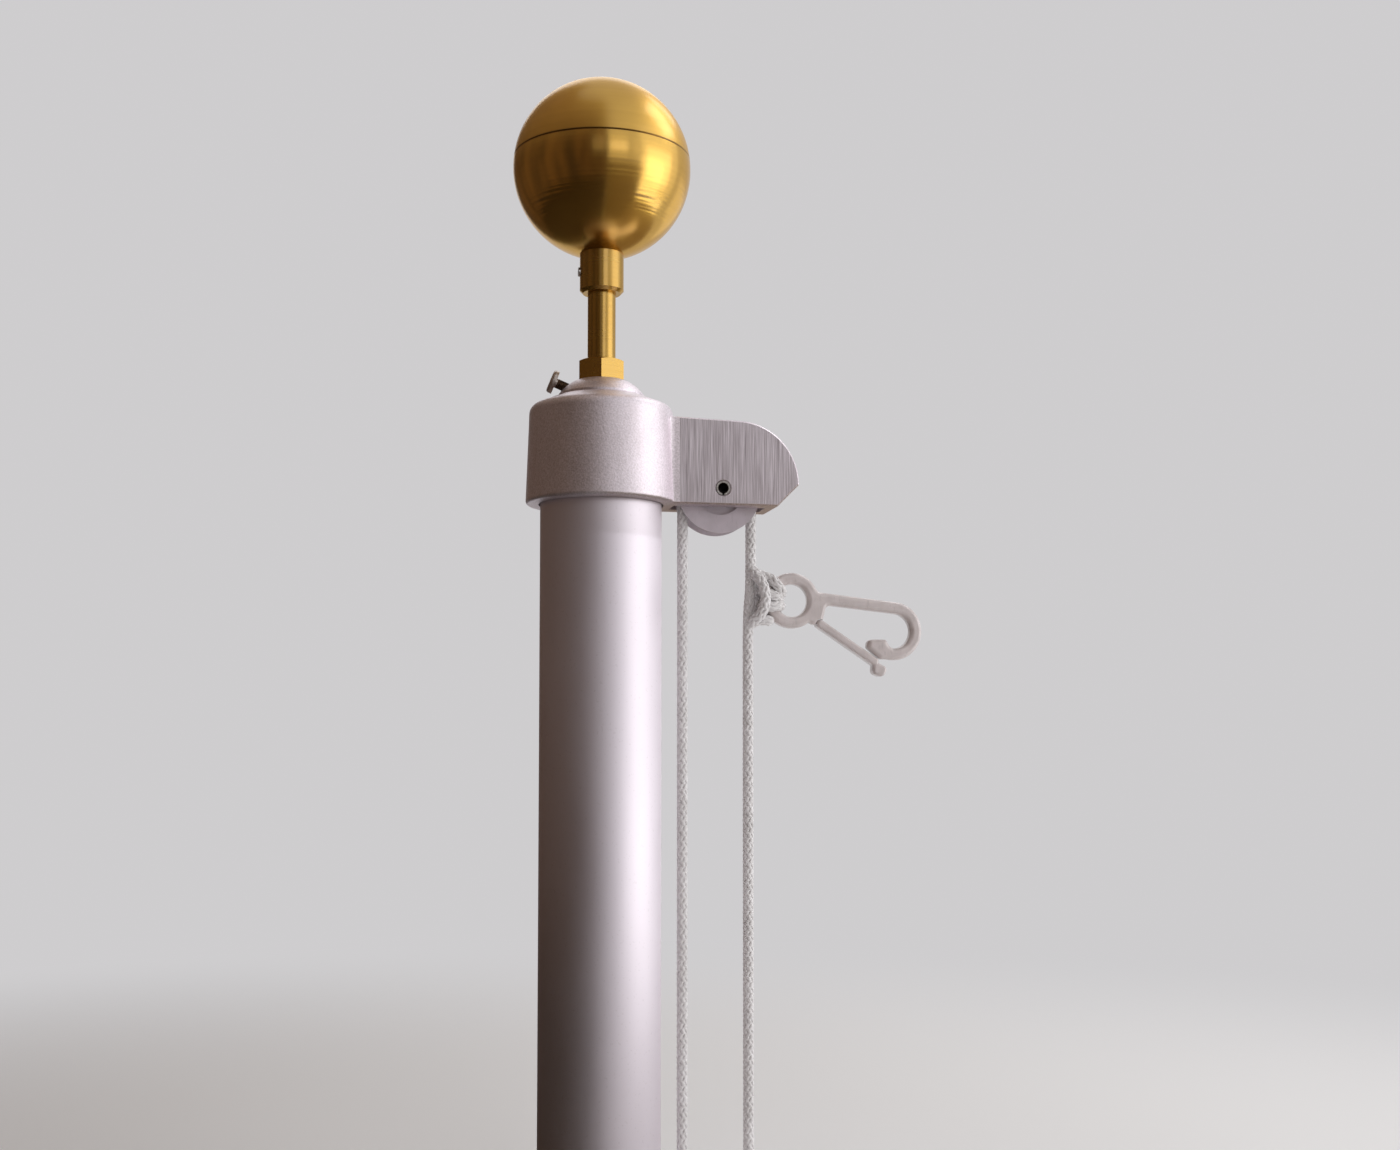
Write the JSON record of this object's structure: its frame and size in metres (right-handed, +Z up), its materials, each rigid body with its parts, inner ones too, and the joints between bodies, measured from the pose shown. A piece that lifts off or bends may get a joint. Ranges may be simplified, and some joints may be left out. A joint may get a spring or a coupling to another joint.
{
  "type": "flagpole head",
  "caption": "Top end of an external halyard flagpole: spun ball finial on a spindle, cast cap truck with a sheave, tube pole, braided halyard and a snap hook.",
  "frame": {"origin": "centre of the pole tube's lower end, in the plane of its end face", "axes": "+Z up along the pole, +X along the truck's arm towards the sheave, +Y to the back"},
  "size_m": [0.1772, 0.0748, 0.4802],
  "materials": {
    "pole_aluminium": "satin drawn tube",
    "cast_aluminium": "blasted casting, belt sanded arm sides",
    "gold_anodised": "gold anodised, fine turning lines",
    "steel": "zinc plated",
    "grey_nylon": "moulded",
    "white_nylon": "moulded",
    "rope": "braided polyester"
  },
  "bodies": {
    "pole": {"pole_tube": "pole_aluminium", "truck_casting": "cast_aluminium", "sheave_roll_pin": "steel", "boss_clamp_screw": "steel", "skirt_set_screw": "steel", "spindle": "gold_anodised", "spindle_nut": "gold_anodised", "ball_collar": "gold_anodised", "collar_set_screw": "steel", "ball_lower_half": "gold_anodised", "ball_upper_half": "gold_anodised", "halyard": "rope", "halyard_end_knot_inner": "rope", "halyard_end_knot_outer": "rope", "hitch_knot": "rope", "snap_hook": "white_nylon"},
    "sheave": {"sheave": "grey_nylon"},
    "gate": {"snap_hook_gate": "white_nylon"}
  },
  "joints": [
    {"name": "sheave_turn", "type": "hinge", "parent": "pole", "child": "sheave", "pos_m": [0.0495, 0, 0.3069], "axis": [0, 1, 0], "continuous": true},
    {"name": "gate_flex", "type": "hinge", "parent": "pole", "child": "gate", "pos_m": [0.09443, 0, 0.25154], "axis": [0, 1, 0], "range_deg": [0, 22], "stiffness_Nm_per_rad": 0.1}
  ]
}
